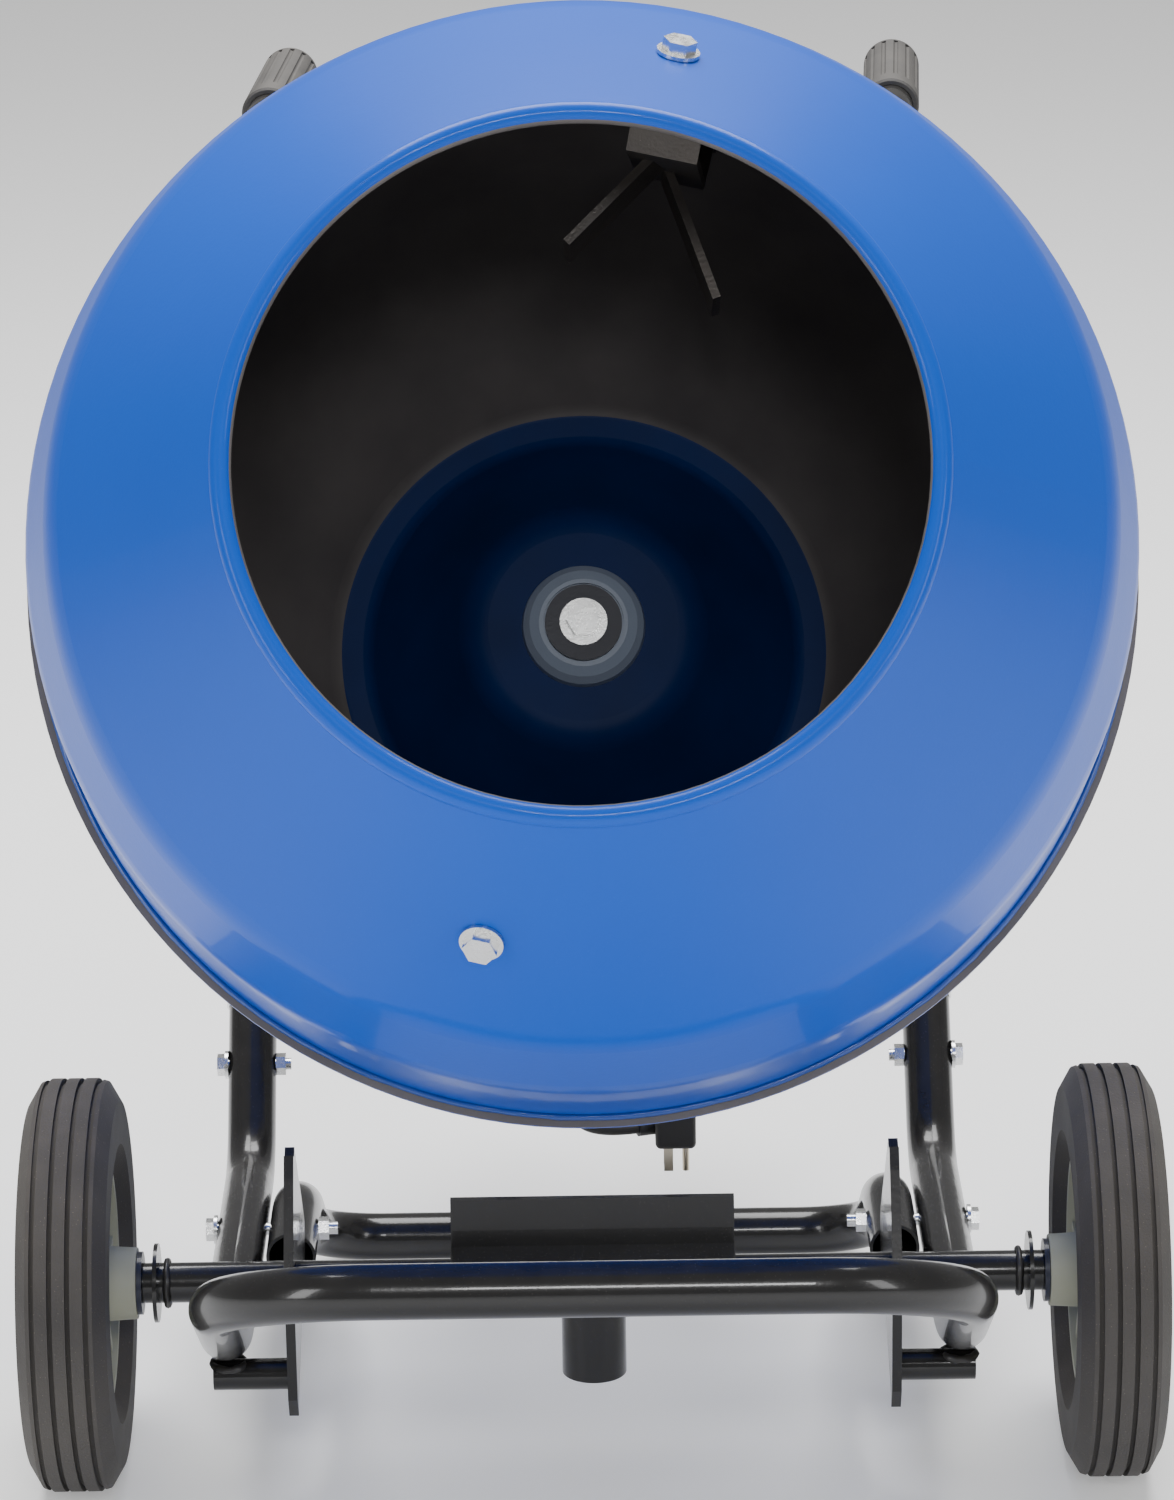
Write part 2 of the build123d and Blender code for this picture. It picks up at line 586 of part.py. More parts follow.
def make_gearbox():
    wall = case_wall
    front = slab(case_outline(), case_split, case_front) - slab(case_outline(-wall), case_split, case_front - wall)
    front += slab(case_outline(case_rim), case_split, case_split + 5) - slab(case_outline(-wall), case_split, case_split + 5)
    ears = [Pos(x, y, case_split) * Cylinder(9, case_front - case_split, align=(Align.CENTER, Align.CENTER, Align.MIN))
            for x, y in case_bolt_spots()]
    for ear in ears:
        front += ear - slab(case_outline(-wall + 1), case_split, case_front)
    front += Pos(0, 0, case_front) * Cylinder(34, 14, align=(Align.CENTER, Align.CENTER, Align.MIN))
    front -= Pos(0, 0, case_front - wall) * Cylinder(shaft_radius + 1, 40, align=(Align.CENTER, Align.CENTER, Align.MIN))
    bearing_z = case_front + 14 - 15
    front -= Pos(0, 0, bearing_z) * Cylinder(26 + run_gap, 20, align=(Align.CENTER, Align.CENTER, Align.MIN))
    boss, bore = socket_for(0, -lay_drop, 17.5, case_front - wall - 8, case_front - wall)
    front = front + boss - bore
    for x, y in rim_spots():
        front -= Pos(x, y, case_split) * Cylinder(3.3, 200)
    add("gearbox_case", on_drum(front))

    joint = case_split - weld_gap
    cover = slab(case_outline(), case_back, joint) - slab(case_outline(-wall), case_back + wall, joint)
    cover += slab(case_outline(case_rim), joint - 5, joint) - slab(case_outline(-wall), joint - 5, joint)
    for x, y, outer, depth in ((0, 0, 17.5, 11), (0, -lay_drop, 17.5, 9)):
        boss, bore = socket_for(x, y, outer, case_back + wall, case_back + wall + depth, boss=3.5)
        cover = cover + boss - bore
    cover -= Pos(0, -motor_drop, case_back - 1) * Cylinder(8.5, 60, align=(Align.CENTER, Align.CENTER, Align.MIN))
    for x, y in rim_spots():
        cover -= Pos(x, y, case_split) * Cylinder(3.3, 60)
    add("gearbox_cover", on_drum(cover))
    bolts = []
    for x, y in rim_spots():
        place = Plane(drum_axes.location * Pos(x, y, joint - 5) * Rot(180, 0, 0))
        bolts += flange_bolt(place, 6, 10, 10 + 12, flange=6.3)
    add("case_bolts", *bolts)

    lay_z = (case_front - wall - 8, case_back + wall)
    bearings = [Pos(0, 0, bearing_z) * ball_bearing(shaft_radius + run_gap, 26, 14.5),
                Pos(0, 0, case_back + wall) * ball_bearing(8.5 + run_gap, 17.5, 10)]
    bearings += [Pos(0, -lay_drop, z) * ball_bearing(7.5 + run_gap, 17.5, width)
                 for z, width in ((lay_z[0], 8), (lay_z[1], 9))]
    add("shaft_bearings", *[on_drum(bearing) for bearing in bearings])

    big = gear(output_teeth, output_module, 18, shaft_radius + run_gap)
    big -= Pos(0, 0, 13) * (Cylinder(60, 10, align=(Align.CENTER, Align.CENTER, Align.MIN)) - Cylinder(24, 40))
    add("output_gear", on_drum(Pos(0, 0, output_gear_z) * big))
    mesh = 180 / pinion_teeth if lay_phase(output_teeth, -90) else 0
    layshaft = Pos(0, -lay_drop, lay_z[1] + 0.5) * Cylinder(7.5, lay_z[0] + 7.5 - lay_z[1] - 0.5,
                                                           align=(Align.CENTER, Align.CENTER, Align.MIN))
    pinion = Rot(0, 0, 90 + mesh) * gear(pinion_teeth, output_module, 24, 0)
    layshaft += Pos(0, -lay_drop, output_gear_z - 3) * pinion
    add("layshaft", on_drum(layshaft))
    hub = gear(wheel_teeth, input_module, 10, 7.5 + run_gap)
    add("layshaft_gear", on_drum(Pos(0, -lay_drop, lay_gear_z - 10) * Rot(0, 0, 90) * hub))


def lay_phase(teeth, angle):
    """True where a gear has a tooth, not a gap, on the line of centres."""
    return (angle % 360) * teeth / 360 % 1 < 0.25


def make_motor():
    align = (Align.CENTER, Align.CENTER, Align.MIN)
    top = case_back - weld_gap
    end = top - motor_length

    def at(z, shape):
        return Pos(0, -motor_drop, z) * shape

    shell = at(end, Cylinder(motor_radius, motor_length, align=align) - Cylinder(motor_radius - 3, motor_length, align=align))
    for i in range(24):
        fin = Rot(0, 0, i * 15) * Pos(motor_radius + 1.5, 0, motor_length * 0.1)
        shell += at(end, fin * Box(6, 2.2, motor_length * 0.8, align=align))
    front = at(top - 12, Cylinder(motor_radius - 3, 12, align=align))
    front -= at(top - 11.5, Cylinder(17.5 + run_gap, 12, align=align))
    front -= at(top - 20, Cylinder(9, 40, align=align))
    add("motor_shell", on_drum(shell + front))
    stator_z = end + 26
    core = at(stator_z, Cylinder(motor_radius - 3 - weld_gap, 74, align=align) - Cylinder(36.2, 200))
    add("stator", on_drum(core))
    fan_z = end - 26
    shaft = at(fan_z, Cylinder(7.5, top - 12.5 + 12 - fan_z, align=align))
    shaft += at(top - 0.5, Cylinder(4.5, lay_gear_z - top + 2, align=align))
    shaft += at(stator_z, Cylinder(35.4, 74, align=align))
    turn = 90 + (180 / motor_teeth)
    shaft += at(lay_gear_z - 12, Rot(0, 0, turn) * gear(motor_teeth, input_module, 14, 0))
    add("rotor", on_drum(shaft))
    bell = at(end - 5.2, Cylinder(motor_radius, 5, align=align) + Pos(0, 0, 5) * Cylinder(23, 10, align=align))
    bell -= at(end + 0.3, Cylinder(17.5 + run_gap, 30, align=align))
    bell -= at(end - 10, Cylinder(9, 40, align=align))
    add("end_bell", on_drum(bell))
    bearings = [at(top - 11.3, ball_bearing(7.5 + run_gap, 17.5, 10.8)), at(end + 0.3, ball_bearing(7.5 + run_gap, 17.5, 9))]
    add("motor_bearings", *[on_drum(bearing) for bearing in bearings])
    fan = at(fan_z + 3, Cylinder(16, 14, align=align))
    for i in range(8):
        fan += at(fan_z + 3, Rot(0, 0, i * 45) * Pos(32, 0, 0) * Box(36, 2.5, 14, align=align))
    fan += at(fan_z + 15.2, Cylinder(50, 1.8, align=align)) - at(fan_z - 10, Cylinder(7.5, 60, align=align))
    fan -= at(fan_z - 10, Cylinder(7.5 + run_gap, 60, align=align))
    add("motor_fan", on_drum(fan))
    depth = 34.0
    cap = at(end - 5.4 - depth, Cylinder(motor_radius, depth, align=align))
    cap -= at(end - 5.4 - depth + 2, Cylinder(motor_radius - 2, depth, align=align))
    holes = [Rot(0, 0, i * 360 / count) * Pos(ring, 0, 0) * Cylinder(3.2, 20)
             for ring, count in ((20, 6), (36, 10), (50, 14)) for i in range(count)]
    for hole in holes:
        cap -= at(end - 5.4 - depth, hole)
    add("fan_cover", on_drum(cap))


box_width, box_height, box_depth = 84.0, 46.0, 80.0
box_wall = 3.0
box_z = case_back - 48.0
box_y = -motor_drop - motor_radius - 5.0 - box_height / 2
rocker_width, rocker_height, rocker_thickness = 17.4, 24.0, 8.0
rocker_tilt = 7.0
gland_x = -18.0
cord_route = [(-24, 326, 132), (-16, 350, 94), (5, 368, 72), (32, 379, 71)]      # after its straight exit
cord_exit_run = 55.0


def box_place(z_front=0.0):
    return drum_axes.location * Pos(0, box_y, box_z - box_depth - z_front)


def make_electrics():
    """Capacitor on the motor; switch box under it with a rocker at the back and the cord's gland below."""
    align = (Align.CENTER, Align.CENTER, Align.MIN)
    top = case_back - weld_gap
    seat = -motor_drop + motor_radius + 5
    can = Pos(0, seat + 19, top - 98) * Cylinder(17.5, 78, align=align)
    saddle = Pos(0, seat + 4, top - 89) * Box(26, 14, 60, align=align)
    saddle -= Pos(0, seat + 19, top - 120) * Cylinder(17.7, 140, align=align)
    saddle -= Pos(0, -motor_drop, top - 120) * Cylinder(motor_radius + 4.7, 140, align=align)
    add("capacitor", on_drum(can))
    add("capacitor_saddle", on_drum(saddle))
    body = fillet(Box(box_width, box_height, box_depth, align=align).edges().filter_by(Axis.Z), 6)
    body -= Pos(0, 0, -1) * Box(box_width - 2 * box_wall, box_height - 2 * box_wall, box_depth - box_wall + 1, align=align)
    gland_z = box_depth / 2
    gland_hole = Pos(gland_x, -box_height / 2, gland_z) * Cylinder(8.1, 12, rotation=(90, 0, 0))
    add("switch_box", box_place() * (body - gland_hole))
    opening = Box(rocker_width + 5, rocker_height + 8, 20)
    lid = Pos(0, 0, -weld_gap - 3) * Box(box_width - 1, box_height - 1, 3, align=align) - opening
    add("switch_box_lid", box_place() * lid)
    bezel = Box(rocker_width + 4.6, rocker_height + 7.6, 12) + Pos(0, 0, -4.4) * Box(rocker_width + 9, rocker_height + 12, 2)
    bezel -= Box(rocker_width + 0.8, rocker_height + 2.2, 40)
    add("switch_bezel", box_place() * (Pos(0, 0, -0.1) * bezel))
    rocker = fillet(Box(rocker_width, rocker_height, rocker_thickness).edges().filter_by(Axis.X), 1.5)
    add("rocker_switch", box_place() * (Pos(0, 0, -2) * Rot(rocker_tilt, 0, 0) * rocker))
    gland = turned([(cord_radius + weld_gap, -6), (8, -6), (8, 0), (11, 0), (11, 7), (8.5, 7),
                    (cord_radius + 1.5, 22), (cord_radius + weld_gap, 22)])
    add("strain_relief", box_place() * (Pos(gland_x, -box_height / 2, gland_z) * Rot(90, 0, 0) * gland))


def cord_radii(points):
    """Tangent arcs, each as large as its two runs allow."""
    radii = []
    for a, b, c in zip(points, points[1:], points[2:]):
        into, out = Vector(*b) - Vector(*a), Vector(*c) - Vector(*b)
        radii.append(0.45 * min(into.length, out.length) / tan(radians(into.get_angle(out) / 2)))
    return radii


def make_cord():
    start = (box_place() * Pos(gland_x, -box_height / 2 - 4, box_depth / 2)).position
    down = Vector(0, -sin(radians(drum_tilt)), -cos(radians(drum_tilt)))
    route = [tuple(start), tuple(start + down * cord_exit_run)] + cord_route
    radii = cord_radii(route)
    cord = bent_tube(route, radii, cord_radius)
    add("power_cord", cord)
    x, y, z = route[-1]
    last = (Vector(*route[-1]) - Vector(*route[-2])).normalized()
    body = fillet((Pos(x + 26, y, z + 2) * Box(28, 26, 27)).edges(), 4)
    body += rod(5.5, Vector(x, y, z) + last * weld_gap, Vector(x, y, z) + last * 18)
    blades = [Pos(x + 21, y + side * 6.35, z - 20) * Box(6.3, 1.5, 18) for side in (-1, 1)]
    pin = rod(2.4, (x + 33, y, z - 11.5), (x + 33, y, z - 31))
    for blade in blades + [pin]:
        body -= blade
    add("power_plug", body)
    add("plug_pins", *blades, pin)
    return route, radii, cord


# ---- assembly -----------------------------------------------------------------------------------
def main():
    os.makedirs("parts", exist_ok=True)
    make_wheels()
    make_lower_frame()
    make_risers()
    make_handles()
    make_cradle()
    make_drum()
    make_hub()
    make_gearbox()
    make_motor()
    make_electrics()
    route, radii, cord = make_cord()
    on_cord = ("power_cord", "power_plug", "plug_pins")
    boxes = [solid.bounding_box() for name, group in parts.items() if name not in on_cord for solid in group]
    front, back = min(box.min.Y for box in boxes), max(box.max.Y for box in boxes)
    shift = Pos(0, -(front + back) / 2, 0)
    for name, group in parts.items():
        moved = [shift * solid for solid in group]
        export_step(moved[0] if len(moved) == 1 else Compound(children=moved), f"parts/{name}.step")
    dy = shift.position.Y
    print("nodes", len(parts), "axle y", round(dy, 3), "length", round(back - front, 1))
    print("drum centre", 0, round(flange_y + dy, 3), flange_z)
    for name, (x, y) in {"layshaft": (0, -lay_drop), "rotor": (0, -motor_drop)}.items():
        point = (drum_axes.location * Pos(x, y, case_split)).position
        print(name, round(point.X, 3), round(point.Y + dy, 3), round(point.Z, 3))
    point = (box_place() * Pos(0, 0, -2)).position
    print("rocker", round(point.X, 3), round(point.Y + dy, 3), round(point.Z, 3))
    print("riser foot", leg_x, foot_y + dy, leg_z)
    print("cord route", [tuple(round(v + (dy if i == 1 else 0), 2) for i, v in enumerate(p)) for p in route])
    print("cord radii", [round(r, 1) for r in radii])
    length = FilletPolyline(*route, radius=radii).length
    print("cord length", round(length, 1), "volume ratio", round(cord.volume / (pi * cord_radius ** 2 * length), 4))


main()
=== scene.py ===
"""A portable concrete mixer: finishes and close detail round its CAD frame. Metres, +Z up, mouth to -Y."""

import logging
import math
from dataclasses import dataclass, field

import bmesh
import bpy
from mathutils import Matrix, Vector, noise

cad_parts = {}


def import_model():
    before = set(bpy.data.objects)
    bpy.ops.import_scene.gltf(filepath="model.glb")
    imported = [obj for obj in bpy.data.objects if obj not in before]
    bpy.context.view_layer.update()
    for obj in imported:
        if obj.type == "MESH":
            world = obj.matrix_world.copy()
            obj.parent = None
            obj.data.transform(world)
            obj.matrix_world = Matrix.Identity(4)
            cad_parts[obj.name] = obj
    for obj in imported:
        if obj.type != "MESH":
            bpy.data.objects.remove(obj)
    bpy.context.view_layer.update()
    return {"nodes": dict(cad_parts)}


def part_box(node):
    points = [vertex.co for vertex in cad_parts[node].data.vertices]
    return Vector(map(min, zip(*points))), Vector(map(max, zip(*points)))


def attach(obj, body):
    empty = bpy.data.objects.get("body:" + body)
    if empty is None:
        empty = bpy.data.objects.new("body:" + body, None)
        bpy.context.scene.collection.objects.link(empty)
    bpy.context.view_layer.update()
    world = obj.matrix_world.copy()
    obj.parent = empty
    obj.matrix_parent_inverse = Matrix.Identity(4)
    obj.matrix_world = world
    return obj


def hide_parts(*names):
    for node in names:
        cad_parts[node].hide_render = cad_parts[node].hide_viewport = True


log = logging.getLogger("mixer")
Colour = tuple[float, float, float]


# ---- shader node groups -------------------------------------------------------------------------
def new_group(name: str, inputs: dict[str, tuple[str, object]], outputs: dict[str, str]) -> tuple:
    """Make an empty shader group.

    Args:
        name: the group's name.
        inputs: socket name to (kind, default); kind is Float, Color or Vector.
        outputs: socket name to kind.

    Returns:
        The group, its input node and its output node.
    """
    group = bpy.data.node_groups.new(name, "ShaderNodeTree")
    for label, (kind, default) in inputs.items():
        socket = group.interface.new_socket(name=label, in_out="INPUT", socket_type=f"NodeSocket{kind}")
        if default is not None:
            socket.default_value = default
    for label, kind in outputs.items():
        group.interface.new_socket(name=label, in_out="OUTPUT", socket_type=f"NodeSocket{kind}")
    return group, group.nodes.new("NodeGroupInput"), group.nodes.new("NodeGroupOutput")


def math_node(tree: bpy.types.NodeTree, operation: str, first: object, second: object = 0.0) -> object:
    """Add a Math node and return its output socket; an argument is a socket or a number."""
    node = tree.nodes.new("ShaderNodeMath")
    node.operation = operation
    for i, value in enumerate((first, second)):
        if isinstance(value, (int, float)):
            node.inputs[i].default_value = value
        else:
            tree.links.new(value, node.inputs[i])
    return node.outputs[0]


def noise_node(tree: bpy.types.NodeTree, vector: object, scale: object, detail: float) -> object:
    """Add a Noise Texture and return its factor; scale is a socket or a number."""
    node = tree.nodes.new("ShaderNodeTexNoise")
    node.inputs["Detail"].default_value = detail
    tree.links.new(vector, node.inputs["Vector"])
    if isinstance(scale, (int, float)):
        node.inputs["Scale"].default_value = scale
    else:
        tree.links.new(scale, node.inputs["Scale"])
    return node.outputs["Fac"]


def grain_group() -> bpy.types.NodeTree:
    """Build the fine relief of a coat of paint, a casting or moulded rubber."""
    group, source, sink = new_group(
        "surface_grain",
        {"Vector": ("Vector", None), "Scale": ("Float", 600.0), "Waviness": ("Float", 0.4)},
        {"Height": "Float"},
    )
    fine = noise_node(group, source.outputs["Vector"], source.outputs["Scale"], 2.0)
    broad_scale = math_node(group, "MULTIPLY", source.outputs["Scale"], 0.12)
    broad = noise_node(group, source.outputs["Vector"], broad_scale, 1.0)
    wave = math_node(group, "MULTIPLY", broad, source.outputs["Waviness"])
    group.links.new(math_node(group, "ADD", fine, wave), sink.inputs["Height"])
    return group


def mottle_group() -> bpy.types.NodeTree:
    """Build the slow drift of a colour over a surface."""
    group, source, sink = new_group(
        "colour_mottle",
        {"Vector": ("Vector", None), "Color": ("Color", None), "Shade": ("Color", None),
         "Scale": ("Float", 6.0), "Amount": ("Float", 0.3)},
        {"Color": "Color"},
    )
    cloud = noise_node(group, source.outputs["Vector"], source.outputs["Scale"], 4.0)
    factor = math_node(group, "MULTIPLY", cloud, source.outputs["Amount"])
    mix = group.nodes.new("ShaderNodeMix")
    mix.data_type = "RGBA"
    group.links.new(factor, mix.inputs["Factor"])
    group.links.new(source.outputs["Color"], mix.inputs["A"])
    group.links.new(source.outputs["Shade"], mix.inputs["B"])
    group.links.new(mix.outputs["Result"], sink.inputs["Color"])
    return group


def dust_group() -> bpy.types.NodeTree:
    """Build a mask of settled dust and specks: thicker on faces that look up, broken by noise."""
    group, source, sink = new_group(
        "settled_dust",
        {"Vector": ("Vector", None), "Scale": ("Float", 30.0), "Film": ("Float", 0.1),
         "Specks": ("Float", 0.2)},
        {"Mask": "Float"},
    )
    geometry = group.nodes.new("ShaderNodeNewGeometry")
    split = group.nodes.new("ShaderNodeSeparateXYZ")
    group.links.new(geometry.outputs["Normal"], split.inputs[0])
    up = math_node(group, "MAXIMUM", split.outputs["Z"], 0.15)
    cloud = noise_node(group, source.outputs["Vector"], source.outputs["Scale"], 6.0)
    film = math_node(group, "MULTIPLY", math_node(group, "MULTIPLY", cloud, up), source.outputs["Film"])
    cells = group.nodes.new("ShaderNodeTexVoronoi")
    group.links.new(source.outputs["Vector"], cells.inputs["Vector"])
    group.links.new(math_node(group, "MULTIPLY", source.outputs["Scale"], 9.0), cells.inputs["Scale"])
    near = math_node(group, "LESS_THAN", cells.outputs["Distance"], 0.10)
    specks = math_node(group, "MULTIPLY", near, source.outputs["Specks"])
    total = group.nodes.new("ShaderNodeClamp")
    group.links.new(math_node(group, "ADD", film, specks), total.inputs["Value"])
    group.links.new(total.outputs[0], sink.inputs["Mask"])
    return group


def blend(tree: bpy.types.NodeTree, factor: object, first: object, second: object) -> object:
    """Mix two colours, each a socket or an RGBA value, and return the result's socket."""
    mix = tree.nodes.new("ShaderNodeMix")
    mix.data_type = "RGBA"
    tree.links.new(factor, mix.inputs["Factor"])
    for label, value in (("A", first), ("B", second)):
        if isinstance(value, tuple):
            mix.inputs[label].default_value = value
        else:
            tree.links.new(value, mix.inputs[label])
    return mix.outputs["Result"]


def vector_node(tree: bpy.types.NodeTree, operation: str, first: object, second: object,
                output: int = 0) -> object:
    """Add a Vector Math node on two sockets and return one of its outputs."""
    node = tree.nodes.new("ShaderNodeVectorMath")
    node.operation = operation
    tree.links.new(first, node.inputs[0])
    tree.links.new(second, node.inputs[1])
    return node.outputs[output]


def shell_side_group() -> bpy.types.NodeTree:
    """Build masks for an open round shell: its inside faces, and the dish within a radius of its axis."""
    group, source, sink = new_group(
        "shell_side",
        {"Vector": ("Vector", None), "Normal": ("Vector", None), "Centre": ("Vector", None),
         "Axis": ("Vector", None), "Dish": ("Float", 0.15)},
        {"Inside": "Float", "Dish": "Float"},
    )
    arm = vector_node(group, "SUBTRACT", source.outputs["Vector"], source.outputs["Centre"])
    facing = vector_node(group, "DOT_PRODUCT", arm, source.outputs["Normal"], 1)
    group.links.new(math_node(group, "LESS_THAN", facing, 0.0), sink.inputs["Inside"])
    along = vector_node(group, "DOT_PRODUCT", arm, source.outputs["Axis"], 1)
    reach = vector_node(group, "DOT_PRODUCT", arm, arm, 1)
    height = math_node(group, "MULTIPLY", along, along)
    radius = math_node(group, "SQRT", math_node(group, "SUBTRACT", reach, height))
    group.links.new(math_node(group, "LESS_THAN", radius, source.outputs["Dish"]), sink.inputs["Dish"])
    return group


# ---- finishes -----------------------------------------------------------------------------------
@dataclass(frozen=True)
class Finish:
    """One finish of the mixer. Colours are linear; depth is the grain's relief in metres."""

    name: str
    colour: Colour
    shade: Colour
    roughness: float = 0.4
    metallic: float = 0.0
    coat: float = 0.0
    coat_roughness: float = 0.05
    specular: float = 0.4
    mottle: float = 0.4
    mottle_scale: float = 7.0
    grain_scale: float = 500.0
    waviness: float = 0.4
    depth: float = 0.0001
    rough_drift: float = 0.1
    dust: Colour = (0.55, 0.5, 0.44)
    film: float = 0.08
    specks: float = 0.0
    dust_scale: float = 30.0

    def build(self, groups: dict[str, bpy.types.NodeTree]) -> bpy.types.Material:
        """Make the material from the shared groups.

        Args:
            groups: the shared node groups by name.

        Returns:
            The finished material.
        """
        material = bpy.data.materials.new(self.name)
        material.use_nodes = True
        tree = material.node_tree
        shader = tree.nodes["Principled BSDF"]
        place = tree.nodes.new("ShaderNodeTexCoord").outputs["Object"]

        def use(name: str, **values: object) -> bpy.types.Node:
            """Place a shared group with this finish's own values."""
            node = tree.nodes.new("ShaderNodeGroup")
            node.node_tree = groups[name]
            tree.links.new(place, node.inputs["Vector"])
            for label, value in values.items():
                node.inputs[label].default_value = value
            return node

        mottle = use("mottle", Color=(*self.colour, 1), Shade=(*self.shade, 1), Scale=self.mottle_scale,
                     Amount=self.mottle)
        dust = use("dust", Scale=self.dust_scale, Film=self.film, Specks=self.specks)
        grain = use("grain", Scale=self.grain_scale, Waviness=self.waviness)
        mix = tree.nodes.new("ShaderNodeMix")
        mix.data_type = "RGBA"
        tree.links.new(dust.outputs["Mask"], mix.inputs["Factor"])
        tree.links.new(mottle.outputs["Color"], mix.inputs["A"])
        mix.inputs["B"].default_value = (*self.dust, 1)
        tree.links.new(mix.outputs["Result"], shader.inputs["Base Color"])
        patches = noise_node(tree, place, self.mottle_scale * 3, 3.0)
        drift = math_node(tree, "MULTIPLY", patches, self.rough_drift)
        dusty = math_node(tree, "MULTIPLY", dust.outputs["Mask"], 0.6)
        base = math_node(tree, "ADD", drift, self.roughness - self.rough_drift / 2)
        tree.links.new(math_node(tree, "ADD", base, dusty), shader.inputs["Roughness"])
        bump = tree.nodes.new("ShaderNodeBump")
        bump.inputs["Distance"].default_value = self.depth
        tree.links.new(grain.outputs["Height"], bump.inputs["Height"])
        tree.links.new(bump.outputs["Normal"], shader.inputs["Normal"])
        shader.inputs["Metallic"].default_value = self.metallic
        shader.inputs["Specular IOR Level"].default_value = self.specular
        shader.inputs["Coat Weight"].default_value = self.coat
        shader.inputs["Coat Roughness"].default_value = self.coat_roughness
        return material


FINISHES = {
    "drum_blue": Finish("drum_blue", (0.0, 0.08, 0.52), (0.0, 0.055, 0.4), roughness=0.4, coat=0.16,
                        specular=0.16, coat_roughness=0.06, mottle=0.5, mottle_scale=4.0, grain_scale=420.0,
                        depth=0.00005, waviness=1.6, rough_drift=0.08, film=0.0, specks=0.02),
    "drum_bottom": Finish("drum_bottom", (0.001, 0.012, 0.075), (0.001, 0.006, 0.03), roughness=0.3,
                          coat=0.6, coat_roughness=0.12, mottle=0.8, mottle_scale=10.0, grain_scale=300.0,
                          depth=0.00015, rough_drift=0.15, film=0.04, specks=0.04),
    "frame_black": Finish("frame_black", (0.0055, 0.0055, 0.006), (0.012, 0.012, 0.012), roughness=0.24,
                          coat=0.35, specular=0.3, coat_roughness=0.04, mottle=0.6, grain_scale=380.0,
                          depth=0.00006, waviness=1.4, film=0.05, specks=0.06, dust_scale=45.0),
    "weld_black": Finish("weld_black", (0.012, 0.012, 0.012), (0.04, 0.037, 0.034), roughness=0.5, coat=0.3,
                         coat_roughness=0.2, grain_scale=180.0, depth=0.0008, film=0.1, specks=0.15),
    "zinc": Finish("zinc", (0.78, 0.79, 0.8), (0.6, 0.6, 0.58), roughness=0.26, metallic=1.0, mottle=0.7,
                   mottle_scale=60.0, grain_scale=900.0, depth=0.00005, rough_drift=0.2, film=0.04),
    "hub_grey": Finish("hub_grey", (0.36, 0.43, 0.56), (0.25, 0.31, 0.43), roughness=0.38, coat=0.3,
                       mottle=0.5, mottle_scale=25.0, depth=0.0001, film=0.05),
    "hub_dark": Finish("hub_dark", (0.012, 0.018, 0.045), (0.02, 0.02, 0.03), roughness=0.4, coat=0.2,
                       film=0.05),
    "tyre": Finish("tyre", (0.03, 0.029, 0.03), (0.085, 0.078, 0.07), roughness=0.78, mottle=0.85,
                   mottle_scale=14.0, grain_scale=700.0, depth=0.0003, rough_drift=0.15,
                   dust=(0.34, 0.29, 0.24), film=0.22, specks=0.3, dust_scale=36.0),
    "rim_plastic": Finish("rim_plastic", (0.42, 0.43, 0.34), (0.32, 0.32, 0.25), roughness=0.5, mottle=0.6,
                          mottle_scale=22.0, grain_scale=650.0, depth=0.00012, film=0.12, specks=0.08),
    "grip_rubber": Finish("grip_rubber", (0.03, 0.03, 0.032), (0.07, 0.066, 0.06), roughness=0.62,
                          mottle=0.7, mottle_scale=40.0, grain_scale=900.0, depth=0.0002, film=0.14,
                          specks=0.05),
    "cast_case": Finish("cast_case", (0.45, 0.46, 0.47), (0.34, 0.34, 0.34), roughness=0.46, metallic=0.85,
                        grain_scale=330.0, depth=0.0005, mottle=0.7, mottle_scale=18.0, film=0.1,
                        specks=0.05),
    "motor_paint": Finish("motor_paint", (0.016, 0.016, 0.018), (0.035, 0.035, 0.035), roughness=0.42,
                          coat=0.3, coat_roughness=0.2, grain_scale=320.0, depth=0.0003, film=0.1,
                          specks=0.05),
    "steel": Finish("steel", (0.5, 0.5, 0.51), (0.36, 0.36, 0.36), roughness=0.34, metallic=1.0, mottle=0.6,
                    mottle_scale=50.0, grain_scale=800.0, depth=0.00005, film=0.04),
    "black_plastic": Finish("black_plastic", (0.018, 0.018, 0.018), (0.03, 0.03, 0.03), roughness=0.48,
                            grain_scale=900.0, depth=0.00015, film=0.08),
    "switch_red": Finish("switch_red", (0.5, 0.012, 0.008), (0.35, 0.008, 0.006), roughness=0.3, coat=0.4,
                         depth=0.00003, film=0.03),
    "cord_rubber": Finish("cord_rubber", (0.012, 0.012, 0.012), (0.025, 0.024, 0.022), roughness=0.55,
                          grain_scale=1100.0, depth=0.0001, film=0.08),
    "drum_sealer": Finish("drum_sealer", (0.003, 0.06, 0.33), (0.002, 0.03, 0.2), roughness=0.35, coat=0.6,
                          grain_scale=200.0, depth=0.0004, film=0.03),
    "paddle_steel": Finish("paddle_steel", (0.05, 0.05, 0.055), (0.14, 0.12, 0.1), roughness=0.42,
                           metallic=0.6, mottle=0.8, mottle_scale=16.0, depth=0.0003, film=0.1, specks=0.1),
    "floor": Finish("floor", (0.86, 0.86, 0.86), (0.84, 0.84, 0.84), roughness=0.6, film=0.0,
                    depth=0.00001),
    "plug_brass": Finish("plug_brass", (0.62, 0.56, 0.44), (0.45, 0.4, 0.3), roughness=0.3, metallic=1.0,
                         mottle_scale=80.0, depth=0.00004, film=0.05),
}


